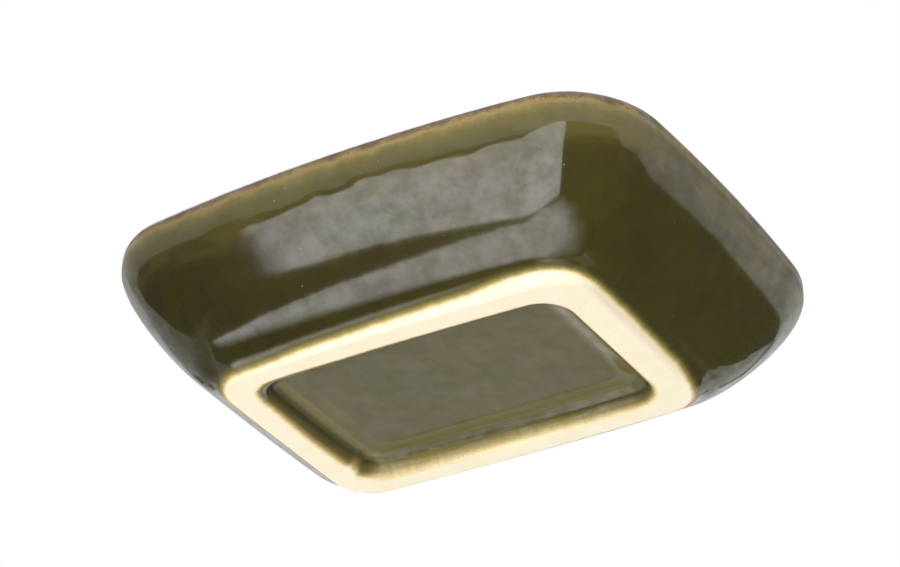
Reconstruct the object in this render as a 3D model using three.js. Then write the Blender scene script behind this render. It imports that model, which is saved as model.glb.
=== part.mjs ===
// Rectangular stoneware dip bowl: a pressed clay body on a bare foot ring, and the glaze fired onto it.
// Millimetres, +Z up. The origin is the middle of the foot's resting face, and +X is along the length.
import * as THREE from 'three';

// Rim, measured over the glaze
const rimLength = 100;
const rimWidth = 80.2;
const rimCorner = 17; // radius of the plan corners
const rimBowLong = 1.8; // how far each long side swells out between its corners
const rimBowShort = 0.7;
const bowlHeight = 23.2;

// Foot ring, bare clay
const footLength = 68;
const footWidth = 44.4;
const footCorner = 6.5;
const footBowLong = 0.5;
const footBowShort = 0.05;
const footEndWidth = 5.9; // width of the ring across the short ends
const footSideWidth = 4.8; // width of the ring along the long sides
const footEdge = 0.9; // rounding of the ring's inner edge
const footEdgeRun = 1; // the outer edge is rounded over this width
const footEdgeRise = 0.48; // and up to this height, where the ring's length and width are measured

// Hollow where the ring runs out into the wall: it leaves the ring towards a bend point and ends at the wall
const rootBendRun = 1.09;
const rootBendRise = 1.3;
const rootRun = 2.57;
const rootRise = 2.11;

// Recess inside the foot ring
const recessDepth = 4;
const recessCorner = 5.2;
const recessHollow = 2.4; // run of the hollow between the ring and the recess floor

// Outside wall: it goes on from the hollow and meets the lip upright, pulled this far at each end
const wallLeaveRun = 4.6; // across the short ends
const wallMeetDrop = 3.38;

// Lip and well
const lipThickness = 3.4;
const lipRise = 1.7; // height of the rounded lip
const lipBand = 1.3; // upright band below the rounding, where the glaze breaks to brown
const floorThickness = 3.8;
const wellFloorInset = 3.4; // edge of the well floor, in from the outside of the foot ring
const wellLeaveRun = 7.8; // the well's wall leaves its floor level, and is pulled in the same way
const wellMeetDrop = 5.1;

// Glaze
const glazeThickness = 0.4;
const glazeLip = 0.25; // thinner on top of the lip, where it runs away as it melts
const glazeEdge = 0.12; // thinnest, against bare clay
const glazeFade = 1.5; // distance over which it thins towards bare clay

// Facets along each stretch of the plan outline and of the section
const facets = { shortSide: 3, corner: 7, longSide: 4, edge: 2, hollow: 4, root: 6, wall: 8, lip: 6 };

const { lerp, clamp } = THREE.MathUtils;

// Plan outlines: rounded rectangles with bowed sides, given by half sizes, corner radius and bows.

const rimOutline = {
  halfLength: rimLength / 2 - glazeThickness,
  halfWidth: rimWidth / 2 - glazeThickness,
  corner: rimCorner - glazeThickness,
  bowLong: rimBowLong,
  bowShort: rimBowShort,
};
const footOutline = {
  halfLength: footLength / 2,
  halfWidth: footWidth / 2,
  corner: footCorner,
  bowLong: footBowLong,
  bowShort: footBowShort,
};
const recessOutline = {
  ...footOutline,
  halfLength: footOutline.halfLength - footEndWidth,
  halfWidth: footOutline.halfWidth - footSideWidth,
  corner: recessCorner,
};

// The outline moved out by a distance, or in by a negative one.
// Its corners stay at least as round as the foot's edges.
function grown(outline, distance) {
  return {
    ...outline,
    halfLength: outline.halfLength + distance,
    halfWidth: outline.halfWidth + distance,
    corner: Math.max(outline.corner + distance, footEdge),
  };
}

// The outline part of the way from one to another.
function between(from, to, share) {
  const mixed = Object.entries(from).map(([key, value]) => [key, lerp(value, to[key], share)]);
  return Object.fromEntries(mixed);
}

// A quarter of the outline, from the middle of the +X side to just before the middle of the +Y side.
// The corner centres, joined by bowed sides, make a core, and the outline lies one corner radius off it.
function quarterPoints({ halfLength, halfWidth, corner, bowLong, bowShort }) {
  const coreX = halfLength - bowShort - corner;
  const coreY = halfWidth - bowLong - corner;
  const shortTilt = (share) => Math.atan2(2 * bowShort * share, coreY);
  const longTilt = (share) => Math.PI / 2 - Math.atan2(2 * bowLong * share, coreX);
  const points = [];
  const addOffCore = (x, y, angle) => {
    points.push(new THREE.Vector2(x + corner * Math.cos(angle), y + corner * Math.sin(angle)));
  };
  for (let i = 0; i < facets.shortSide; i++) {
    const share = i / facets.shortSide;
    addOffCore(coreX + bowShort * (1 - share ** 2), coreY * share, shortTilt(share));
  }
  for (let i = 0; i < facets.corner; i++) {
    addOffCore(coreX, coreY, lerp(shortTilt(1), longTilt(1), i / facets.corner));
  }
  for (let i = 0; i < facets.longSide; i++) {
    const share = 1 - i / facets.longSide;
    addOffCore(coreX * share, coreY + bowLong * (1 - share ** 2), longTilt(share));
  }
  return points;
}

// The whole outline as a ring of points at one height, counter-clockwise from above.
function ringPoints({ outline, z }) {
  const quarter = quarterPoints(outline);
  const mirrored = quarter.slice(1).reverse().map((p) => new THREE.Vector2(-p.x, p.y));
  const half = [...quarter, new THREE.Vector2(0, outline.halfWidth), ...mirrored];
  const ring = [...half, ...half.map((p) => p.clone().negate())];
  return ring.map((p) => new THREE.Vector3(p.x, p.y, z));
}

// Section through the clay, from the recess floor, round the outside and the lip, to the well floor.
// It is a list of stations, and a station is an outline at a height.

// A quarter-round between two points of the section, given as distances out from one outline, and heights.
// One that leaves level arrives upright, and one that leaves upright arrives level.
function quarterRound(outline, from, to, leaves, count) {
  const stations = [];
  for (let i = 0; i <= count; i++) {
    const angle = ((i / count) * Math.PI) / 2;
    const late = 1 - Math.cos(angle);
    const early = Math.sin(angle);
    const [run, rise] = leaves === 'level' ? [early, late] : [late, early];
    stations.push({ outline: grown(outline, lerp(from.out, to.out, run)), z: lerp(from.z, to.z, rise) });
  }
  return stations;
}

// A bend between two points of the section, given in the same way, that heads for a third one at both ends.
function bend(outline, from, corner, to, count) {
  const curve = new THREE.QuadraticBezierCurve(
    new THREE.Vector2(from.out, from.z), new THREE.Vector2(corner.out, corner.z), new THREE.Vector2(to.out, to.z));
  return curve.getPoints(count).map((p) => ({ outline: grown(outline, p.x), z: p.y }));
}

// A wall from a lower station to an upper one, which it meets upright.
function wall(lower, upper, leaveRun, leaveRise, meetDrop) {
  const run = upper.outline.halfLength - lower.outline.halfLength;
  const rise = upper.z - lower.z;
  const curve = new THREE.CubicBezierCurve(
    new THREE.Vector2(0, 0),
    new THREE.Vector2(leaveRun, leaveRise),
    new THREE.Vector2(run, rise - meetDrop),
    new THREE.Vector2(run, rise),
  );
  return curve.getPoints(facets.wall).map((p) => ({
    outline: between(lower.outline, upper.outline, p.x / run),
    z: lower.z + p.y,
  }));
}

// The lip, a half round from the outside face to the inside face.
function lip(z) {
  const stations = [];
  for (let i = 0; i <= facets.lip; i++) {
    const angle = (i / facets.lip) * Math.PI;
    const inset = (lipThickness / 2) * (1 - Math.cos(angle));
    stations.push({ outline: grown(rimOutline, -inset), z: z + lipRise * Math.sin(angle) });
  }
  return stations;
}

const lipTopZ = bowlHeight - glazeLip;
const lipZ = lipTopZ - lipRise;
const bandZ = lipZ - lipBand;
const wallFootZ = footEdgeRise + rootRise;
const wallLeaveRise = (wallLeaveRun * (rootRise - rootBendRise)) / (rootRun - rootBendRun);
const edgeBendRun = (footEdgeRise * rootBendRun) / rootBendRise; // the ring's outside, carried down to the face

const recess = quarterRound(
  recessOutline, { out: -recessHollow, z: recessDepth }, { out: 0, z: footEdge }, 'level', facets.hollow);
const innerEdge = quarterRound(
  recessOutline, { out: 0, z: footEdge }, { out: footEdge, z: 0 }, 'upright', facets.edge);
const outerEdge = bend(
  footOutline, { out: -footEdgeRun, z: 0 }, { out: -edgeBendRun, z: 0 }, { out: 0, z: footEdgeRise }, facets.edge);
const root = bend(
  footOutline, { out: 0, z: footEdgeRise }, { out: rootBendRun, z: footEdgeRise + rootBendRise },
  { out: rootRun, z: wallFootZ }, facets.root);
const outside = wall(
  root.at(-1), { outline: rimOutline, z: bandZ }, wallLeaveRun, wallLeaveRise, wallMeetDrop);
const rim = lip(lipZ);
const well = wall(
  { outline: grown(footOutline, -wellFloorInset), z: recessDepth + floorThickness },
  { outline: grown(rimOutline, -lipThickness), z: bandZ }, wellLeaveRun, 0, wellMeetDrop).reverse();

const section = [
  ...recess,
  ...innerEdge.slice(1),
  ...outerEdge,
  ...root.slice(1),
  ...outside.slice(1),
  ...rim,
  ...well,
];

// Stations where the coats of glaze start and stop
const recessLine = section.indexOf(recess.at(-1));
const footLine = section.indexOf(root[1]);
const bandOutside = section.indexOf(outside.at(-1));
const bandInside = section.indexOf(well[0]);
const wellFloor = section.length - 1;

// Length of the section up to each station, along the +X side
const path = [0];
for (let i = 1; i < section.length; i++) {
  const run = section[i].outline.halfLength - section[i - 1].outline.halfLength;
  path.push(path[i - 1] + Math.hypot(run, section[i].z - section[i - 1].z));
}

// Faces of the clay and of the glaze over it

const clayPoints = section.map(ringPoints);

// Direction out of the clay, from a point's neighbours along the section and round its ring.
function outward(station, index) {
  const ring = clayPoints[station];
  const before = clayPoints[Math.max(station - 1, 0)][index];
  const after = clayPoints[Math.min(station + 1, wellFloor)][index];
  const along = after.clone().sub(before);
  const round = ring[(index + 1) % ring.length].clone().sub(ring.at(index - 1));
  return round.cross(along).normalize();
}

// The glaze thins towards bare clay and over the top of the lip.
function coatThickness(station) {
  const line = station <= recessLine ? recessLine : footLine;
  const fromBare = Math.abs(path[station] - path[line]);
  const flank = lerp(glazeEdge, glazeThickness, clamp(fromBare / glazeFade, 0, 1));
  return lerp(flank, glazeLip, clamp((section[station].z - bandZ) / (lipTopZ - bandZ), 0, 1));
}

// Rings carry an order, so that a coat and the clay under it split their shared face into the same facets.
function clayRing(station) {
  return { order: station, points: clayPoints[station] };
}

function glazeRing(station) {
  const thickness = coatThickness(station);
  const points = clayPoints[station].map(
    (p, i) => p.clone().addScaledVector(outward(station, i), thickness));
  return { order: station + 0.5, points };
}

function stationsBetween(first, last) {
  return Array.from({ length: last - first + 1 }, (_, i) => first + i);
}

// A closed solid through rings. A looped one joins its last ring to its first.
// Any other has its first and last rings filled by fans about the bowl's middle.
function loft(rings, looped) {
  const size = rings[0].points.length;
  const positions = rings.flatMap(({ points }) => points.flatMap((p) => p.toArray()));
  const indices = [];
  const corner = (ring, index) => ring * size + (index % size);

  for (let ring = 0; ring < rings.length - (looped ? 0 : 1); ring++) {
    const next = (ring + 1) % rings.length;
    const turned = rings[ring].order > rings[next].order;
    const [low, high] = turned ? [next, ring] : [ring, next];
    for (let i = 0; i < size; i++) {
      const facing = [corner(low, i), corner(low, i + 1), corner(high, i + 1)];
      const behind = [corner(low, i), corner(high, i + 1), corner(high, i)];
      if (turned) {
        facing.reverse();
        behind.reverse();
      }
      indices.push(...facing, ...behind);
    }
  }

  function fill(ring, turned) {
    const middle = positions.length / 3;
    positions.push(0, 0, rings[ring].points[0].z);
    for (let i = 0; i < size; i++) {
      const [from, to] = turned ? [i + 1, i] : [i, i + 1];
      indices.push(middle, corner(ring, from), corner(ring, to));
    }
  }
  if (!looped) {
    fill(0, true);
    fill(rings.length - 1, false);
  }

  const geometry = new THREE.BufferGeometry();
  geometry.setAttribute('position', new THREE.Float32BufferAttribute(positions, 3));
  geometry.setIndex(indices);
  geometry.computeVertexNormals();
  return geometry;
}

// Pieces

function clayBody() {
  return loft(stationsBetween(0, wellFloor).map(clayRing), false);
}

// A coat that runs right round the bowl between two stations.
function bandCoat(first, last) {
  const stations = stationsBetween(first, last);
  return loft([...stations.map(glazeRing), ...stations.reverse().map(clayRing)], true);
}

// The coat over the recess floor and its hollow.
function recessCoat() {
  const stations = stationsBetween(0, recessLine);
  return loft([...stations.map(glazeRing), ...stations.reverse().map(clayRing)], false);
}

// The coat over the well's wall and floor.
function wellCoat() {
  const stations = stationsBetween(bandInside, wellFloor);
  return loft([...stations.map(clayRing).reverse(), ...stations.map(glazeRing)], false);
}

function piece(name, geometry, color, roughness) {
  const material = new THREE.MeshStandardMaterial({ color, roughness, metalness: 0 });
  const mesh = new THREE.Mesh(geometry, material);
  mesh.name = name;
  return mesh;
}

const bowl = new THREE.Group();
bowl.add(piece('clay_body', clayBody(), '#f1e6cc', 0.85));
bowl.add(piece('outer_glaze', bandCoat(footLine, bandOutside), '#45401f', 0.15));
bowl.add(piece('rim_glaze', bandCoat(bandOutside, bandInside), '#6f5d3a', 0.2));
bowl.add(piece('well_glaze', wellCoat(), '#45401f', 0.15));
bowl.add(piece('recess_glaze', recessCoat(), '#5a573f', 0.25));

export default bowl;
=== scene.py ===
# Dip bowl: a pressed stoneware body with its bare foot ring, and the coats of glaze fired onto it.
import bisect
import math

import bmesh
import bpy
from mathutils import Matrix, Vector, geometry, noise


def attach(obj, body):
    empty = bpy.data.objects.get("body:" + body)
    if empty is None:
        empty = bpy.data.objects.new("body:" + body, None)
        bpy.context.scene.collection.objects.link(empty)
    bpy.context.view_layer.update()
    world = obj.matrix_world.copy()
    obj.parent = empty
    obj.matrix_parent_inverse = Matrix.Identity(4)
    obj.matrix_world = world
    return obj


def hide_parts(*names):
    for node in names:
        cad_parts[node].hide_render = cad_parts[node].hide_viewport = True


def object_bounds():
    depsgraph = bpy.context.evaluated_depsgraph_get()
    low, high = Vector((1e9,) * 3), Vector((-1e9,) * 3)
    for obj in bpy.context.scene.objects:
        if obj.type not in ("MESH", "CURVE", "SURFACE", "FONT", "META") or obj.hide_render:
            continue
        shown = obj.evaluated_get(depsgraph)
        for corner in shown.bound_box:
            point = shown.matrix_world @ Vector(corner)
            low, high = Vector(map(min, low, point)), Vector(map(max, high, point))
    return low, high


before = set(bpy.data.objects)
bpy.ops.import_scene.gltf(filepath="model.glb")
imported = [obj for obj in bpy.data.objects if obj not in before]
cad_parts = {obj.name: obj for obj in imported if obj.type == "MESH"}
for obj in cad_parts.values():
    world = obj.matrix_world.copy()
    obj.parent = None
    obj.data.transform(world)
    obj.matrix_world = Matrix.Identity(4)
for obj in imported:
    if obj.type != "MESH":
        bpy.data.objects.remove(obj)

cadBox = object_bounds()
mm = 0.001  # shapes are worked out in millimetres, and scaled to metres as a piece is finished
print("frame loaded:", ", ".join(sorted(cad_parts)))


# Shader maths

class Wire:  # one socket of a node tree: sums and products of wires add their Math nodes
    def __init__(self, tree, socket=None):
        self.tree = tree
        self.socket = socket

    def node(self, kind, settings=None, sockets=None, out=0):
        made = self.tree.nodes.new(kind)
        for name, value in (settings or {}).items():
            if name == "stops":
                setStops(made.color_ramp, value)
            else:
                setattr(made, name, value)
        for key, value in (sockets or {}).items():
            if isinstance(value, Wire):
                self.tree.links.new(value.socket, made.inputs[key])
            else:
                made.inputs[key].default_value = value
        if isinstance(out, tuple):
            return [Wire(self.tree, made.outputs[key]) for key in out]
        return Wire(self.tree, made.outputs[out]) if made.outputs else None

    def math(self, operation, a, b=0.0):
        return self.node("ShaderNodeMath", {"operation": operation}, {0: a, 1: b})

    def __add__(self, other):
        return self.math("ADD", self, other)

    def __radd__(self, other):
        return self.math("ADD", other, self)

    def __sub__(self, other):
        return self.math("SUBTRACT", self, other)

    def __rsub__(self, other):
        return self.math("SUBTRACT", other, self)

    def __mul__(self, other):
        return self.math("MULTIPLY", self, other)

    def __rmul__(self, other):
        return self.math("MULTIPLY", other, self)


def setStops(ramp, stops):
    while len(ramp.elements) < len(stops):
        ramp.elements.new(1.0)
    for element, (at, colour) in zip(ramp.elements, stops):
        element.position = at
        element.color = colour


def smooth(value, low, high):  # 0 below low, 1 above high
    return value.node("ShaderNodeMapRange", {"interpolation_type": "SMOOTHSTEP"},
                      {0: value, 1: low, 2: high, 3: 0.0, 4: 1.0})


def within(value, start, full, last, end):  # 1 from full to last, fading to 0 at start and end
    return smooth(value, start, full) * (1 - smooth(value, last, end))


def mixColours(factor, first, second):
    return factor.node("ShaderNodeMix", {"data_type": "RGBA"}, {0: factor, 6: first, 7: second}, out=2)


def grain(place, size, detail=2.0, rough=0.5):  # noise of about 0.3 to 0.7, its features sized in mm
    return place.node("ShaderNodeTexNoise", {"noise_dimensions": "3D"},
                      {"Vector": place, "Scale": 1 / (size * mm), "Detail": detail, "Roughness": rough})


def specks(place, spacing, radius, share):  # 1 in scattered round specks, in a share of the cells
    distance, colour = place.node("ShaderNodeTexVoronoi", {"feature": "F1"},
                                  {"Vector": place, "Scale": 1 / (spacing * mm)}, out=(0, 1))
    pick = colour.node("ShaderNodeSeparateColor", {}, {0: colour})
    inside = 1 - smooth(distance, 0.4 * radius / spacing, radius / spacing)
    return inside * smooth(pick, 1 - share, 1 - share + 0.02)


def srgb(red, green, blue, alpha=1.0):  # a colour given as it looks on screen
    def linear(c):
        c = c / 255
        return c / 12.92 if c <= 0.04045 else ((c + 0.055) / 1.055) ** 2.4
    return (linear(red), linear(green), linear(blue), alpha)


def ramp(value, stops):  # the colour and the strength of a ramp, with its stops in the value's own units
    start, run = stops[0][0], stops[-1][0] - stops[0][0]
    placed = [((at - start) / run, srgb(*colour)) for at, colour in stops]
    return value.node("ShaderNodeValToRGB", {"stops": placed}, {0: (value - start) * (1 / run)}, out=(0, 1))


# Section of the clay, in millimetres

rim = {
    "halfLength": cadBox[1].x / mm, "halfWidth": cadBox[1].y / mm, "height": cadBox[1].z / mm,
    "corner": 17.0, "bowLong": 1.8, "bowShort": 0.7,
    "lipThickness": 3.4, "lipRise": 1.7, "lipBand": 1.3,
}
foot = {
    "halfLength": 34.0, "halfWidth": 22.2, "corner": 6.5, "bowLong": 0.5, "bowShort": 0.05,
    "endWidth": 5.9, "sideWidth": 4.8, "edge": 0.9, "edgeRun": 1.0, "edgeRise": 0.48,
}
root = {"bendRun": 1.09, "bendRise": 1.3, "run": 2.57, "rise": 2.11}  # the foot runs out into the wall
recess = {"depth": 4.0, "corner": 5.2, "hollow": 2.4}
wall = {"leaveRun": 4.6, "meetDrop": 3.38}
wall["leaveRise"] = wall["leaveRun"] * (root["rise"] - root["bendRise"]) / (root["run"] - root["bendRun"])
well = {"floorThickness": 3.8, "floorInset": 3.4, "leaveRun": 7.8, "meetDrop": 5.1}
glaze = {"thickness": 0.4, "overLip": 0.25, "lipRun": 4.0, "atEdge": 0.04, "edgeRun": 1.5}
plan = {"shortSide": 18, "corner": 20, "longSide": 26}  # facets in a quarter of the outline
rowCounts = {"lip": 32, "hollow": 16, "footFace": 24, "root": 24}  # facets along the section


def lerp(first, second, share):
    return first + (second - first) * share


def outline(shape, grow=0.0):
    return {
        "halfLength": shape["halfLength"] + grow, "halfWidth": shape["halfWidth"] + grow,
        "corner": max(shape["corner"] + grow, foot["edge"]),
        "bowLong": shape["bowLong"], "bowShort": shape["bowShort"],
    }


def between(first, second, share):
    return {key: lerp(first[key], second[key], share) for key in first}


def ringPoint(shape, turn):  # a point on a bowed rounded rectangle, from the middle of the +X side round
    quarter = turn * 4
    side = int(quarter) % 4
    share = quarter - int(quarter)
    if side in (1, 3):
        share = 1 - share
    step = share * sum(plan.values())
    corner, bowLong, bowShort = shape["corner"], shape["bowLong"], shape["bowShort"]
    coreX = shape["halfLength"] - bowShort - corner
    coreY = shape["halfWidth"] - bowLong - corner
    if step < plan["shortSide"]:
        part = step / plan["shortSide"]
        x, y = coreX + bowShort * (1 - part ** 2), coreY * part
        angle = math.atan2(2 * bowShort * part, coreY)
    elif step < plan["shortSide"] + plan["corner"]:
        part = (step - plan["shortSide"]) / plan["corner"]
        first = math.atan2(2 * bowShort, coreY)
        last = math.pi / 2 - math.atan2(2 * bowLong, coreX)
        x, y, angle = coreX, coreY, lerp(first, last, part)
    else:
        part = (sum(plan.values()) - step) / plan["longSide"]
        x, y = coreX * part, coreY + bowLong * (1 - part ** 2)
        angle = math.pi / 2 - math.atan2(2 * bowLong * part, coreX)
    x, y = x + corner * math.cos(angle), y + corner * math.sin(angle)
    return (x if side in (0, 3) else -x), (y if side in (0, 1) else -y)


def steps(count):
    return [i / count for i in range(count + 1)]


def quarterRound(shape, start, end, leaves, count=12):  # start and end are distances out, and heights
    rows = []
    for share in steps(count):
        late, early = 1 - math.cos(share * math.pi / 2), math.sin(share * math.pi / 2)
        run, rise = (early, late) if leaves == "level" else (late, early)
        rows.append((outline(shape, lerp(start[0], end[0], run)), lerp(start[1], end[1], rise)))
    return rows


def bend(shape, start, corner, end, count=16):  # heads for its corner at both ends
    start, corner, end = Vector(start), Vector(corner), Vector(end)
    pulls = start.lerp(corner, 2 / 3), end.lerp(corner, 2 / 3)
    curve = geometry.interpolate_bezier(start, *pulls, end, count)
    return [(outline(shape, p.x), p.y) for p in curve]


def wallRows(lower, upper, pull, count=60):  # between two outlines, meeting the upper one upright
    run = upper[0]["halfLength"] - lower[0]["halfLength"]
    rise = upper[1] - lower[1]
    curve = geometry.interpolate_bezier(
        (0, 0), (pull["leaveRun"], pull.get("leaveRise", 0)),
        (run, rise - pull["meetDrop"]), (run, rise), count)
    return [(between(lower[0], upper[0], p[0] / run), lower[1] + p[1]) for p in curve]


def floorRows(edge, z, count=30):
    point = {key: 0.0 for key in edge}
    return [(between(point, edge, share), z) for share in steps(count)]


def clayStretches():
    clayRim = outline(rim, -glaze["thickness"])
    inner = {**foot, "halfLength": foot["halfLength"] - foot["endWidth"],
             "halfWidth": foot["halfWidth"] - foot["sideWidth"], "corner": recess["corner"]}
    edge, edgeRun, edgeRise = foot["edge"], foot["edgeRun"], foot["edgeRise"]
    lipTop = rim["height"] - glaze["overLip"]
    lipZ = lipTop - rim["lipRise"]
    bandZ = lipZ - rim["lipBand"]
    wellZ = recess["depth"] + well["floorThickness"]
    lipRows = []
    for share in steps(rowCounts["lip"]):
        inset = rim["lipThickness"] / 2 * (1 - math.cos(share * math.pi))
        lipRows.append((outline(clayRim, -inset), lipZ + rim["lipRise"] * math.sin(share * math.pi)))
    bandOutside = (outline(clayRim), bandZ)
    bandInside = (outline(clayRim, -rim["lipThickness"]), bandZ)
    wellEdge = (outline(foot, -well["floorInset"]), wellZ)
    hollow = quarterRound(
        inner, (-recess["hollow"], recess["depth"]), (0, edge), "level", rowCounts["hollow"])
    edgeBend = -edgeRise * root["bendRun"] / root["bendRise"]
    faceInside, faceOutside = outline(inner, edge), outline(foot, -edgeRun)
    footFace = [(between(faceInside, faceOutside, share), 0.0) for share in steps(rowCounts["footFace"])]
    rootRows = bend(foot, (0, edgeRise), (root["bendRun"], edgeRise + root["bendRise"]),
                    (root["run"], edgeRise + root["rise"]), rowCounts["root"])
    return {
        "recessFloor": floorRows(hollow[0][0], recess["depth"]),
        "recessHollow": hollow,
        "innerEdge": quarterRound(inner, (0, edge), (edge, 0), "upright"),
        "footFace": footFace,
        "outerEdge": bend(foot, (-edgeRun, 0), (edgeBend, 0), (0, edgeRise)),
        "footRoot": rootRows,
        "outsideWall": wallRows(rootRows[-1], bandOutside, wall),
        "outsideBand": [bandOutside, lipRows[0]],
        "lip": lipRows,
        "insideBand": [lipRows[-1], bandInside],
        "wellWall": wallRows(wellEdge, bandInside, well)[::-1],
        "wellFloor": floorRows(wellEdge[0], wellZ)[::-1],
    }


section = []  # rows of path length, outline and height, from mid-recess over the lip to mid-well
marks = {}  # where each stretch of the section starts and ends
for stretchName, stretch in clayStretches().items():
    for shape, z in stretch:
        length = 0.0
        if section:
            last = section[-1]
            length = last[0] + math.hypot(shape["halfLength"] - last[1]["halfLength"], z - last[2])
        section.append((length, shape, z))
    marks[stretchName] = (section[-len(stretch)][0], section[-1][0])
paths = [row[0] for row in section]


def onClay(path, turn):
    after = min(max(bisect.bisect_left(paths, path), 1), len(section) - 1)
    first, second = section[after - 1], section[after]
    run = second[0] - first[0]
    share = (path - first[0]) / run if run > 1e-9 else 1.0
    x, y = ringPoint(between(first[1], second[1], share), turn)
    return Vector((x, y, lerp(first[2], second[2], share)))


print("section:", {name: (round(a, 2), round(b, 2)) for name, (a, b) in marks.items()})

segments = 4 * sum(plan.values())
lipCrest = sum(marks["lip"]) / 2


# Where the glaze was wiped off round the foot: turns round the bowl, and millimetres along the clay

footWipe = {  # drift is up from the foot's root, and fade is how wide the thin edge is
    "line": marks["footRoot"][0],
    "drift": [(0.0, 0.8), (0.04, 0.65), (0.085, -0.6), (0.13, -0.3), (0.2, 0.4), (0.3, 0.6), (0.42, 0.3),
              (0.52, 0.0), (0.59, -0.45), (0.66, 0.0), (0.7, 0.5), (0.76, 0.8), (0.8, 1.0), (0.84, 1.75),
              (0.88, 1.5), (0.92, 1.0), (0.98, 0.95)],
    "fade": [(0.0, 0.7), (0.2, 1.0), (0.62, 0.9), (0.8, 0.9), (0.9, 0.65)],
    "jags": 2.0, "lowest": marks["outerEdge"][0] + 0.4,
}
recessWipe = {  # drift, and crease where the line of painted shade runs, are past the end of the recess's hollow, over the foot's inner edge
    "line": marks["recessHollow"][1],
    "drift": [(0.0, 0.8), (0.1, 1.05), (0.17, 0.8), (0.25, 0.3), (0.35, 0.75), (0.38, 0.85), (0.41, 1.6),
              (0.422, 0.5), (0.432, 0.3), (0.44, 1.15), (0.5, 1.4), (0.57, 1.1), (0.61, 1.9), (0.66, 1.8),
              (0.72, 1.3), (0.8, 1.0)],
    "fade": [(0.0, 0.6), (0.1, 0.9), (0.25, 1.5), (0.37, 2.2), (0.4, 1.4), (0.58, 1.1), (0.62, 0.45),
             (0.9, 0.5)],
    "crease": [(0.1, -0.8), (0.17, -1.1), (0.28, -2.2), (0.33, -2.1), (0.39, -1.2), (0.45, -0.8),
               (0.9, -0.8)],
    "jags": 1.5, "highest": marks["innerEdge"][1] - 0.4,
}
jaggedness = 0.1  # how far a wiped line strays, in jags of the length that it gives
barest, fullest = -4.0, 8.0  # the build of glaze is kept between these
girth = 48.0  # the bowl's mean radius, in millimetres


def roundBowl(points, turn):  # an even curve through a few values set round the bowl
    closed = points + [(points[0][0] + 1, points[0][1])]
    for (start, first), (end, second) in zip(closed, closed[1:]):
        if start <= turn < end:
            share = (turn - start) / (end - start)
            return lerp(first, second, share * share * (3 - 2 * share))
    return points[0][1]


def jag(turn, size):  # a ragged edge, by up to about a tenth of a millimetre either way
    angle = turn * 2 * math.pi
    spot = Vector((math.cos(angle), math.sin(angle), 0)) * girth / size
    return jaggedness * (noise.noise(spot) + 0.6 * noise.noise(spot * 2.7))


def wipedLine(wipe, turn):
    return wipe["line"] + roundBowl(wipe["drift"], turn) + jag(turn, wipe["jags"])


def footEdge(turn):
    return max(wipedLine(footWipe, turn), footWipe["lowest"])


def recessEdge(turn):
    return wipedLine(recessWipe, turn)


def recessStop(turn):  # past here the glaze is only a stain on the clay
    return min(recessEdge(turn), recessWipe["highest"])


def glazeBuild(path, turn):  # how far in from the wiped line a place lies: below 0 is bare clay
    outside = (path - footEdge(turn)) / roundBowl(footWipe["fade"], turn)
    inside = (recessEdge(turn) - path) / roundBowl(recessWipe["fade"], turn)
    return min(max(outside, inside, barest), fullest)


# Meshes

meshing = {"seam": 0.9999, "mergeWithin": 1e-4, "sharpFrom": math.radians(50)}  # the seam closes on turn 0


def sheetOnClay(placeRow, rowCount, wipedAt=None):  # a grid wrapped round the bowl, its rows along the clay
    bm = bmesh.new()
    bm.loops.layers.uv.new("wrap")
    bmesh.ops.create_grid(bm, x_segments=segments, y_segments=rowCount, size=1.0, calc_uvs=True)
    pathLayer = bm.verts.layers.float.new("path")
    buildLayer = bm.verts.layers.float.new("build")
    edgeLayer = bm.verts.layers.float.new("fromEdge")
    creaseLayer = bm.verts.layers.float.new("fromCrease")
    for vert in bm.verts:
        turn, share = (vert.co.x + 1) / 2, (vert.co.y + 1) / 2
        turn = turn if turn < meshing["seam"] else 0.0
        path = placeRow(share, turn)
        vert[pathLayer] = path
        vert[buildLayer] = glazeBuild(path, turn)
        vert[edgeLayer] = abs(path - wipedAt(turn)) if wipedAt else glaze["edgeRun"]
        vert[creaseLayer] = path - recessWipe["line"] - roundBowl(recessWipe["crease"], turn)
        vert.co = onClay(path, turn)
    bmesh.ops.remove_doubles(bm, verts=bm.verts, dist=meshing["mergeWithin"])
    return bm


swell = {"fine": 0.007, "fineSize": 4.0, "slow": 0.11, "slowSize": 24.0, "sunk": 0.11}
drips = {"depth": 0.09, "size": 2.9, "from": 3.0, "full": 5.0, "last": 6.5, "end": 10.5}  # below the lip
pool = {"deepest": marks["recessHollow"][0] + 1.2, "depth": 0.85, "toEdge": 3.1, "toFloor": 4.2}


def ease(value, low, high):
    share = min(max((value - low) / (high - low), 0.0), 1.0)
    return share * share * (3 - 2 * share)


def undulation(co, path):  # how the melted coat swells and thins from place to place, in millimetres
    fromLip = abs(path - lipCrest)
    fine = swell["fine"] * noise.noise(co / swell["fineSize"])
    slow = swell["slow"] * noise.noise(co / swell["slowSize"])
    run = drips["depth"] * noise.noise(Vector((co.x, co.y, 0)) / drips["size"])
    runHere = ease(fromLip, drips["from"], drips["full"]) * (1 - ease(fromLip, drips["last"], drips["end"]))
    return fine + slow + run * runHere - swell["sunk"]


def pooled(path):  # glaze gathers in the recess's hollow
    if path > pool["deepest"]:
        return pool["depth"] * max(0.0, 1 - ((path - pool["deepest"]) / pool["toEdge"]) ** 2)
    return pool["depth"] * ease(path, pool["deepest"] - pool["toFloor"], pool["deepest"])


def coatDepth(path, fromEdge):
    rounding = math.sin(min(fromEdge / glaze["edgeRun"], 1.0) * math.pi / 2)
    depth = lerp(glaze["atEdge"], glaze["thickness"] + pooled(path), rounding)
    overLip = max(0.0, 1 - abs(path - lipCrest) / glaze["lipRun"])
    return lerp(depth, glaze["overLip"], overLip)


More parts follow.
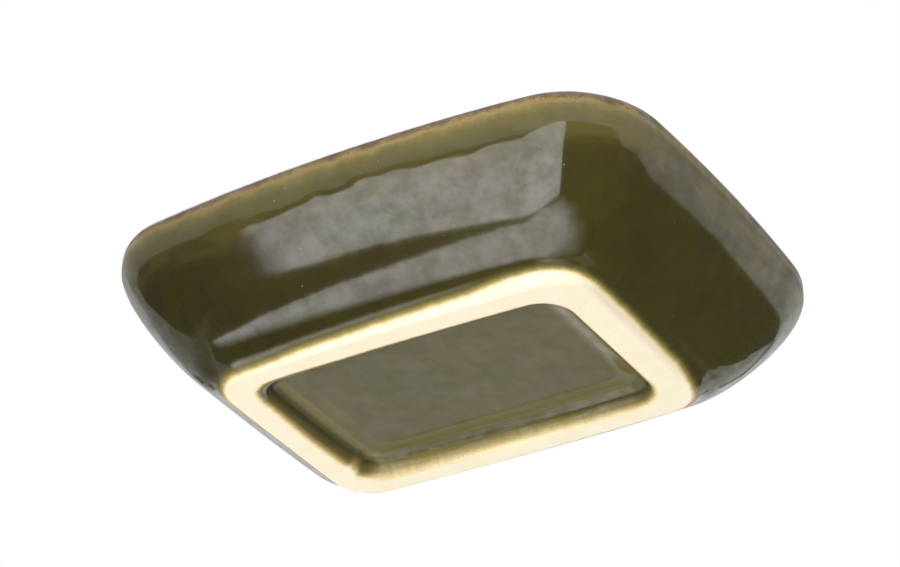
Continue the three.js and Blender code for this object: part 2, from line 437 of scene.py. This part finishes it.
def thickenCoat(bm):  # the coat grows out of its sheet, which lies on the clay
    pathLayer = bm.verts.layers.float["path"]
    edgeLayer = bm.verts.layers.float["fromEdge"]
    bm.normal_update()
    grown = bmesh.ops.extrude_face_region(bm, geom=bm.faces[:], use_keep_orig=True)
    outside = [item for item in grown["geom"] if isinstance(item, bmesh.types.BMVert)]
    normals = [vert.normal.copy() for vert in outside]
    for vert, normal in zip(outside, normals):
        depth = coatDepth(vert[pathLayer], vert[edgeLayer])
        uneven = undulation(vert.co, vert[pathLayer]) * min(depth / glaze["thickness"], 1.0)
        vert.co += normal * max(depth + uneven, glaze["atEdge"] / 2)


def addObject(name, bm, material):
    mesh = bpy.data.meshes.new(name)
    bm.to_mesh(mesh)
    bm.free()
    mesh.materials.append(material)
    made = bpy.data.objects.new(name, mesh)
    bpy.context.scene.collection.objects.link(made)
    return made


def finishPiece(bm, piece, material):
    bmesh.ops.recalc_face_normals(bm, faces=bm.faces)
    for face in bm.faces:
        face.smooth = True
    for edge in bm.edges:
        if len(edge.link_faces) == 2 and edge.calc_face_angle() > meshing["sharpFrom"]:
            edge.smooth = False
    bmesh.ops.scale(bm, vec=(mm, mm, mm), verts=bm.verts)
    made = addObject(piece["name"], bm, material)
    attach(made, "root")
    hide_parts(piece["node"])
    print("made", piece["name"], len(made.data.polygons), "faces")


# Finishes

wipedEdge = [  # from bare clay through thin amber glaze to the full coat
    (-1.2, (253, 243, 214, 0.0)), (-0.6, (250, 234, 196, 0.6)), (-0.25, (234, 214, 164, 1.0)),
    (0.0, (205, 184, 128, 1.0)), (0.35, (156, 138, 80, 1.0)), (0.7, (122, 108, 52, 1.0)),
    (1.0, (102, 93, 40, 1.0)), (1.4, (82, 77, 32, 0.9)), (2.0, (68, 64, 28, 0.6)), (3.0, (60, 56, 25, 0.0)),
]
lipBreak = [  # by distance from the lip's crest: brown where the glaze runs thin, ochre, then olive
    (0.0, (70, 53, 42, 1.0)), (1.7, (72, 55, 42, 1.0)), (2.2, (88, 70, 48, 1.0)), (2.7, (118, 97, 58, 1.0)),
    (3.2, (146, 123, 70, 0.9)), (3.7, (146, 126, 70, 0.8)), (4.3, (122, 108, 56, 0.75)),
    (5.0, (104, 95, 47, 0.7)), (6.5, (92, 85, 41, 0.6)), (9.0, (78, 73, 34, 0.35)),
    (12.0, (66, 62, 28, 0.0)),
]
lipTone = {  # the bands too are by distance from the crest
    "tanBand": (2.6, 4.2, 8.0, 13.0), "tanShare": 0.35, "rustBand": (1.8, 2.2, 2.5, 3.4),
    "brown": 0.75, "brownNear": 0.3, "brownLeft": 0.4,  # all round, more on the near side and towards -X
}
fineRuns = {"width": 1.3, "length": 9.0}
lipRuns = {"width": 11.0, "length": 3.2}
glazePits = {"spacing": 2.4, "radius": 0.16, "share": 0.22}


def newMaterial(name):
    material = bpy.data.materials.new(name)
    material.use_nodes = True
    material.node_tree.nodes.clear()
    return material, Wire(material.node_tree)


def attribute(wire, name):
    return wire.node("ShaderNodeAttribute", {"attribute_name": name}, {}, out=2)


def streaksDown(wire, path, width, length):  # noise drawn out along the section, as glaze runs
    across = wire.node("ShaderNodeUVMap", {"uv_map": "wrap"}, {})
    turn = wire.node("ShaderNodeSeparateXYZ", {}, {0: across}, out=0) * (2 * math.pi)
    spot = wire.node("ShaderNodeCombineXYZ", {}, {
        0: wire.math("COSINE", turn) * (girth * mm), 1: wire.math("SINE", turn) * (girth * mm),
        2: path * (mm * width / length)})
    return grain(spot, width, 3.0, 0.55)


def wipeEdge(wire, place, runs, colour):  # amber where the glaze thins out towards bare clay
    build = attribute(wire, "build") + (runs - 0.5) * 0.3 + (grain(place, 0.5, 2.0) - 0.5) * 0.3
    edge, strength = ramp(build, wipedEdge)
    return mixColours(strength, colour, edge), build


def poolGlazeAndPaintedLight(wire, place, path, runs, colour, look):  # gathered in the recess, with painted shade darkening the crease and a painted reflection making the floor's edge and the -X end's slope paler
    hollowStart, hollowEnd = marks["recessHollow"]
    fromStart, fromEnd = path - hollowStart, path - hollowEnd
    fromCrease = attribute(wire, "fromCrease")
    leftEnd = smooth(0 - wire.node("ShaderNodeSeparateXYZ", {}, {0: place}, out=0), *look["leftEnd"])
    floorEdge = within(fromStart, *look["floorEdge"])
    endSlope = leftEnd * smooth(fromStart, *look["endSlope"]) * (1 - smooth(fromCrease, *look["toCrease"]))
    # painted reflection: the edge of the recess floor and the slope at its -X end are painted paler
    paintedReflection = floorEdge * look["floorShare"] + endSlope * look["slopeShare"]
    colour = mixColours(paintedReflection, colour, look["slope"])
    # painted shade: a dark line along the crease, where shade falls
    crease = 1 - smooth(wire.math("ABSOLUTE", fromCrease + (runs - 0.5) * 0.4), *look["creaseHalf"])
    colour = mixColours(crease, colour, look["crease"])
    satin = smooth(fromStart, *look["satinFrom"]) * (1 - smooth(fromEnd, *look["satinTo"]))
    return colour, satin * look["satinRough"] + crease * look["creaseRough"]


def breakGlazeAndPaintedLight(wire, place, path, runs, colour, look):  # the lip's browns, most of them along the near side, then painted light and shade: lighter towards +X, darker towards -X
    x, y = wire.node("ShaderNodeSeparateXYZ", {}, {0: place}, out=(0, 1))
    x, y = x * (1 / (rim["halfLength"] * mm)), y * (1 / (rim["halfWidth"] * mm))
    side = lipTone["brown"] - y * lipTone["brownNear"] - x * lipTone["brownLeft"]
    fromLip = wire.math("ABSOLUTE", path - lipCrest)
    blotch = grain(place, 5.0, 3.0, 0.55)
    along = streaksDown(wire, path, **lipRuns)
    tan = smooth(along, 0.42, 0.62) * within(fromLip, *lipTone["tanBand"])
    colour = mixColours(tan * lipTone["tanShare"], colour, look["tan"])
    tongues = (runs - 0.5) * 0.6 + (grain(place, 0.8, 2.0) - 0.5) * 0.7 + (blotch - 0.5) * 3.0
    ragged = fromLip + tongues * smooth(fromLip, 1.2, 3.0)
    broken, strength = ramp(ragged, lipBreak)
    whole = 1 - smooth(side + (blotch - 0.5) * 0.9, 0.1, 1.0)
    colour = mixColours(strength * (1 - whole * smooth(fromLip, 1.8, 2.8)), colour, broken)
    rust = smooth(grain(place, 0.9, 2.0), 0.55, 0.64) * within(fromLip, *lipTone["rustBand"])
    rust = rust * smooth(0 - y, 0.4, 0.85) * (0.3 + 0.6 * smooth(x, -0.6, 0.3))
    colour = mixColours(rust, colour, look["rust"])
    # painted light and shade: the whole colour is scaled lighter towards +X and darker towards -X
    shade = 1 + look["drift"] * x
    return wire.node("ShaderNodeVectorMath", {"operation": "SCALE"}, {0: colour, "Scale": shade})


def glazeMaterial(name, look):
    material, wire = newMaterial(name)
    place = wire.node("ShaderNodeTexCoord", {}, {}, out="Object")
    path = attribute(wire, "path")
    runs = streaksDown(wire, path, **fineRuns)

    cloud = grain(place, look["mottle"], 3.0, 0.55)
    colour = mixColours(smooth(cloud, 0.38, 0.62), look["green"], look["brown"])
    colour = mixColours(smooth(grain(place, 2.2, 4.0, 0.6), 0.3, 0.75) * 0.35, colour, look["deep"])
    colour = mixColours(smooth(runs, 0.5, 0.75) * look["streaks"], colour, look["light"])
    duller = 0.0
    if look["poolsAndPaintedLight"]:
        colour, duller = poolGlazeAndPaintedLight(wire, place, path, runs, colour, look)
    if look["breaks"]:
        colour = breakGlazeAndPaintedLight(wire, place, path, runs, colour, look)

    colour, build = wipeEdge(wire, place, runs, colour)
    pits = specks(place, **glazePits)
    colour = mixColours(pits * 0.75, colour, look["pit"])

    wiped = 1 - smooth(build, -0.2, 2.2)
    rough = look["rough"] + 0.35 * wiped + (grain(place, 1.6) - 0.5) * 0.06 + pits * 0.3 + duller
    height = grain(place, 0.4, 2.0) * 0.01 + grain(place, 1.8, 2.0) * 0.012 - pits * 0.05
    bumped = wire.node("ShaderNodeBump", {}, {"Strength": look["bump"], "Distance": mm, "Height": height})
    bloom = smooth(grain(place, 3.2, 5.0, 0.68), 0.32, 0.68) * look["bloom"]  # where the glaze shines more
    shader = wire.node("ShaderNodeBsdfPrincipled", {}, {
        "Base Color": colour, "Roughness": rough, "IOR": 1.46, "Coat Weight": bloom, "Coat Roughness": 0.08,
        "Normal": bumped})
    wire.node("ShaderNodeOutputMaterial", {}, {"Surface": shader})
    return material


def clayMaterial(name, look):
    material, wire = newMaterial(name)
    place = wire.node("ShaderNodeTexCoord", {}, {}, out="Object")
    runs = streaksDown(wire, attribute(wire, "path"), **fineRuns)
    sand = grain(place, 0.28, 3.0, 0.7)
    colour = mixColours(smooth(grain(place, 6.0, 3.0), 0.35, 0.65), look["cream"], look["warm"])
    colour = mixColours(smooth(sand, 0.48, 0.72) * 0.7, colour, look["sand"])
    pores = specks(place, **look["pores"])
    stains = specks(place, **look["stains"])
    colour = mixColours(pores * 0.75, colour, look["pore"])
    colour = mixColours(stains * 0.5, colour, look["stain"])

    colour, build = wipeEdge(wire, place, runs, colour)
    rough = look["rough"] + (sand - 0.5) * 0.2 - smooth(build, -0.1, 0.8) * 0.5
    height = sand * 0.06 + grain(place, 1.1, 2.0) * 0.08 - pores * 0.1
    bumped = wire.node("ShaderNodeBump", {}, {"Strength": look["bump"], "Distance": mm, "Height": height})
    shader = wire.node("ShaderNodeBsdfPrincipled", {}, {
        "Base Color": colour, "Roughness": rough, "IOR": 1.45, "Normal": bumped})
    wire.node("ShaderNodeOutputMaterial", {}, {"Surface": shader})
    return material


# Clay body

body = {"name": "clay_body_fired", "node": "clay_body", "slot": "bare_stoneware"}
clayLook = {
    "cream": srgb(250, 241, 215), "warm": srgb(249, 237, 207), "sand": srgb(240, 226, 190),
    "pore": srgb(214, 192, 148), "stain": srgb(224, 194, 140), "rough": 0.75, "bump": 0.35,
    "pores": {"spacing": 1.2, "radius": 0.15, "share": 0.3},
    "stains": {"spacing": 7.0, "radius": 0.55, "share": 0.2},
}
bm = sheetOnClay(lambda share, turn: paths[round(share * (len(paths) - 1))], len(paths) - 1)
finishPiece(bm, body, clayMaterial("bare_stoneware", clayLook))


# Glaze on the outside wall

outerCoat = {"name": "outer_glaze_coat", "node": "outer_glaze", "slot": "olive_glaze", "rows": 96}
oliveLook = {
    "green": srgb(57, 54, 20), "brown": srgb(55, 48, 20), "deep": srgb(45, 41, 16),
    "light": srgb(80, 74, 34), "tan": srgb(104, 93, 50), "rust": srgb(92, 60, 38),
    "pit": srgb(140, 132, 98),
    "mottle": 8.0, "streaks": 0.08, "rough": 0.08, "bump": 0.09, "bloom": 0.55,
    "breaks": True, "poolsAndPaintedLight": False, "drift": 0.4,  # drift: painted light and shade, lighter at the +X end and darker towards -X by this share
}
bm = sheetOnClay(
    lambda share, turn: lerp(footEdge(turn), marks["outsideWall"][1], share), outerCoat["rows"], footEdge)
thickenCoat(bm)
finishPiece(bm, outerCoat, glazeMaterial("olive_glaze", oliveLook))


# Glaze over the lip

rimCoat = {"name": "rim_glaze_coat", "node": "rim_glaze", "slot": "brown_rim_glaze", "rows": 56}
bm = sheetOnClay(
    lambda share, turn: lerp(marks["outsideBand"][0], marks["insideBand"][1], share), rimCoat["rows"])
thickenCoat(bm)
finishPiece(bm, rimCoat, glazeMaterial("brown_rim_glaze", oliveLook))


# Glaze in the well

wellCoat = {"name": "well_glaze_coat", "node": "well_glaze", "slot": "well_olive_glaze", "rows": 100}
bm = sheetOnClay(
    lambda share, turn: lerp(marks["wellWall"][0], marks["wellFloor"][1], share), wellCoat["rows"])
thickenCoat(bm)
finishPiece(bm, wellCoat, glazeMaterial("well_olive_glaze", oliveLook))


# Glaze in the recess under the foot

recessCoat = {"name": "recess_glaze_coat", "node": "recess_glaze", "slot": "recess_olive_glaze", "rows": 96}
recessLook = {
    "green": srgb(84, 81, 44), "brown": srgb(92, 84, 48), "deep": srgb(70, 66, 36),
    # slope is the colour of the painted reflection, and crease the dark of the painted shade in the crease
    "light": srgb(112, 104, 64), "slope": srgb(138, 128, 86), "crease": srgb(46, 43, 14),
    "pit": srgb(150, 142, 110),
    "mottle": 9.0, "streaks": 0.1, "rough": 0.14, "bump": 0.2, "bloom": 0.55, "breaks": False, "poolsAndPaintedLight": True,
    # in millimetres, from the start of the hollow
    "floorEdge": (-3.3, -2.3, -0.3, 0.6), "endSlope": (-0.9, 0.7), "satinFrom": (-1.2, 0.8),
    # from its end, from the crease, and half across the crease's painted shade
    "satinTo": (-1.0, 0.5), "toCrease": (-2.6, -0.4), "creaseHalf": (0.15, 0.6),
    "leftEnd": (0.016, 0.024),  # in metres, towards -X
    # floorShare and slopeShare set how strong the painted reflection is
    "floorShare": 0.22, "slopeShare": 0.7, "satinRough": 0.45, "creaseRough": 0.4,
}
bm = sheetOnClay(lambda share, turn: share * recessStop(turn), recessCoat["rows"], recessStop)
thickenCoat(bm)
finishPiece(bm, recessCoat, glazeMaterial("recess_olive_glaze", recessLook))


# Stage and light

def fromBowl(azimuth, elevation):  # direction out from the bowl: azimuth 0 is the front, -Y
    a, e = math.radians(azimuth), math.radians(elevation)
    return Vector((math.sin(a) * math.cos(e), -math.cos(a) * math.cos(e), math.sin(e)))


# Studio cards, with their corners as seen from the bowl, in azimuth and elevation.
# Soft lists the edges that fade, by the number of the corner that starts them: how far in the fade reaches,
# as a share of the card's distance, and the level at the edge itself, as a share of the card's.
# Cloud is how uneven the light is, and a card that is onlyMirrored shows in reflections alone.
cards = {
    "dark_left": {"level": 0.1, "far": 3.2, "corners": [
        (-37, -12), (-90, 0.7), (-94, -2.6), (-65, -42.4), (-37, -48)]},
    "dark_wedge": {"level": 0.1, "far": 3.1, "soft": {2: (0.15, 6.0)}, "corners": [
        (-60, -41), (-97, -42.5), (-113, -48), (-113, -67), (-60, -72)]},
    "dark_frame": {"level": 0.1, "far": 3.3, "corners": [
        (-15.5, -19.0), (-37.5, -15.4), (-37.5, -48), (38, -51), (33, -23)]},
    "dark_corner": {"level": 0.1, "far": 3.4, "corners": [
        (92, -21), (72, -16.8), (30, -18.8), (30, -51), (92, -55)]},
    "dark_right": {"level": 0.1, "far": 3.5, "corners": [
        (175, 6.3), (130, -8.7), (88, -21), (88, -52), (157, -27)]},
    "dark_low": {"level": 0.1, "far": 3.6, "soft": {3: (0.1, 2.5), 4: (0.1, 2.5)}, "corners": [
        (162, -24), (88, -40), (88, -57), (113, -67), (166, -43)]},
    "grey_left": {"level": 0.62, "far": 4.0, "soft": {1: (0.12, 1.6), 5: (0.7, 1.5)}, "corners": [
        (-15, 25), (-128, 34), (-130, -15), (-113, -45), (-62, -45), (-15, -16)]},
    "grey_below": {"level": 0.65, "far": 4.1, "corners": [
        (-113, -18), (-150, -16), (172, -20), (162, -42), (113, -72), (-60, -80)]},
    "dim_under": {"level": 0.45, "far": 4.0, "corners": [
        (-113, -52), (-150, -50), (175, -47), (150, -55), (113, -70), (-60, -82)]},
    "stand_leg": {"level": 0.25, "far": 2.9, "soft": {0: (0.04, 3.0), 2: (0.04, 3.0)}, "corners": [
        (-122, 8), (-126, 7), (-120.5, -7), (-116.5, -7)]},
    "back_panel": {"level": 0.85, "far": 3.0, "soft": {0: (0.08, 0.25), 4: (0.08, 0.25)}, "corners": [
        (190, 12), (176, 8), (167, -5), (179, -8.5), (189, -1)]},
    "grey_behind": {"level": 0.5, "far": 3.7, "onlyMirrored": True, "soft": {2: (0.4, 1.9)}, "corners": [
        (-95, 45), (140, 45), (125, 4), (-105, 4)]},
    "front_softbox": {
        "level": 4.55, "far": 2.5, "cloud": 0.6, "soft": {0: (0.035, 0.0), 4: (0.6, 0.75)}, "corners": [
            (-38.5, -19.4), (-43, -36.5), (-35, -42.2), (27, -51.4), (30, -18.3)]},
    "lower_softbox": {
        "level": 3.4, "far": 2.6, "cloud": 0.5, "soft": {0: (0.12, 0.1), 3: (0.6, 0.0), 4: (0.3, 0.0)},
        "corners": [
            (-66, -43.3), (-71, -62), (150, -84), (119, -70), (95, -50), (62, -51.5), (27, -54), (-1, -52.3),
            (-31, -47)]},
    "upper_softbox": {
        "level": 3.4, "far": 2.4, "soft": {edge: (0.12, 0.0) for edge in range(4)}, "corners": [
            (-150, 48), (-100, 40), (-80, 62), (-160, 72)]},
}
cloudSize = 300.0  # in millimetres


def hangCard(name, card):
    corners = [fromBowl(*corner) for corner in card["corners"]]
    sides = [first.cross(second).normalized() for first, second in zip(corners, corners[1:] + corners[:1])]
    bm = bmesh.new()
    bmesh.ops.create_icosphere(bm, subdivisions=5, radius=card["far"])
    for side in sides:
        bmesh.ops.bisect_plane(bm, geom=bm.verts[:] + bm.edges[:] + bm.faces[:], plane_co=(0, 0, 0),
                               plane_no=side, clear_inner=True)
    material, wire = newMaterial(name)
    place = wire.node("ShaderNodeTexCoord", {}, {}, out="Object")
    level = card["level"]
    for number, (width, least) in card.get("soft", {}).items():
        inward = wire.node("ShaderNodeVectorMath", {"operation": "DOT_PRODUCT"},
                           {0: place, 1: sides[number]}, out="Value")
        level = level * (least + (1 - least) * smooth(inward, 0.0, width * card["far"]))
    if "cloud" in card:
        level = level * (1 + card["cloud"] * (grain(place, cloudSize, 3.0) - 0.5))
    glow = wire.node("ShaderNodeEmission", {}, {"Color": (1, 1, 1, 1), "Strength": level})
    wire.node("ShaderNodeOutputMaterial", {}, {"Surface": glow})
    hung = addObject(name, bm, material)
    hung.visible_camera = False
    hung.visible_diffuse = not card.get("onlyMirrored", False)
    print("hung", name, len(hung.data.polygons), "faces")


for cardName, card in cards.items():
    hangCard(cardName, card)

world = bpy.data.worlds.new("white_studio")
bpy.context.scene.world = world
world.use_nodes = True
world.node_tree.nodes.clear()
sky = Wire(world.node_tree)
white = sky.node("ShaderNodeBackground", {}, {"Color": (1, 1, 1, 1), "Strength": 1.0})
sky.node("ShaderNodeOutputWorld", {}, {"Surface": white})

floorBoard = {
    "half": 3.0, "below": 0.00005, "colour": (0.9, 0.9, 0.9, 1), "fade": (0.2, 1.2),
    # a patch under the -X end that reflections show: how far towards -X, and the line across its near corner
    "patchOut": (0.033, 0.036, 0.054, 0.064), "patchNear": (-0.075, -0.066),
}


def layFloor(board):  # shows from above only
    bm = bmesh.new()
    bmesh.ops.create_grid(bm, x_segments=1, y_segments=1, size=board["half"])
    bmesh.ops.translate(bm, vec=(0, 0, -board["below"]), verts=bm.verts)
    material, wire = newMaterial("pale_floor")
    place = wire.node("ShaderNodeTexCoord", {}, {}, out="Object")
    x, y = wire.node("ShaderNodeSeparateXYZ", {}, {0: place}, out=(0, 1))
    away = wire.node("ShaderNodeVectorMath", {"operation": "LENGTH"}, {0: place}, out="Value")
    seen, mirrored = wire.node("ShaderNodeLightPath", {}, {}, out=("Is Camera Ray", "Is Glossy Ray"))
    under = wire.node("ShaderNodeNewGeometry", {}, {}, out="Backfacing")
    patch = within(0 - x, *board["patchOut"]) * smooth(x + y, *board["patchNear"])
    pale = wire.node("ShaderNodeBsdfDiffuse", {}, {"Color": board["colour"]})
    distant = wire.node("ShaderNodeEmission", {}, {"Color": (1, 1, 1, 1), "Strength": 1.0})
    ground = wire.node("ShaderNodeMixShader", {}, {0: smooth(away, *board["fade"]), 1: pale, 2: distant})
    clear = wire.node("ShaderNodeBsdfTransparent", {}, {})
    shown = (seen + mirrored * patch) * (1 - under)
    oneWay = wire.node("ShaderNodeMixShader", {}, {0: shown, 1: clear, 2: ground})
    wire.node("ShaderNodeOutputMaterial", {}, {"Surface": oneWay})
    floor = addObject("floor", bm, material)


layFloor(floorBoard)
print("floor laid")


# Camera

view = {
    "azimuth": 33.544, "elevation": -32.881, "roll": 2.45, "distance": 0.484308,
    "aimRight": -0.001275, "aimUp": 0.017784, "lens": 121.48, "sensor": 36.0,
}
back = fromBowl(view["azimuth"], view["elevation"])
right = Vector((0, 0, 1)).cross(back).normalized()
up = back.cross(right)
roll = math.radians(view["roll"])
across = math.cos(roll) * right + math.sin(roll) * up
upward = math.cos(roll) * up - math.sin(roll) * right
cameraData = bpy.data.cameras.new("photo_view")
cameraData.lens = view["lens"]
cameraData.sensor_width = view["sensor"]
camera = bpy.data.objects.new("photo_view", cameraData)
stand = across * view["aimRight"] + upward * view["aimUp"] + back * view["distance"]
camera.matrix_world = Matrix.Translation(stand) @ Matrix((across, upward, back)).transposed().to_4x4()
bpy.context.scene.collection.objects.link(camera)
bpy.context.scene.camera = camera
bpy.context.scene.view_settings.view_transform = "Standard"
print("camera set")
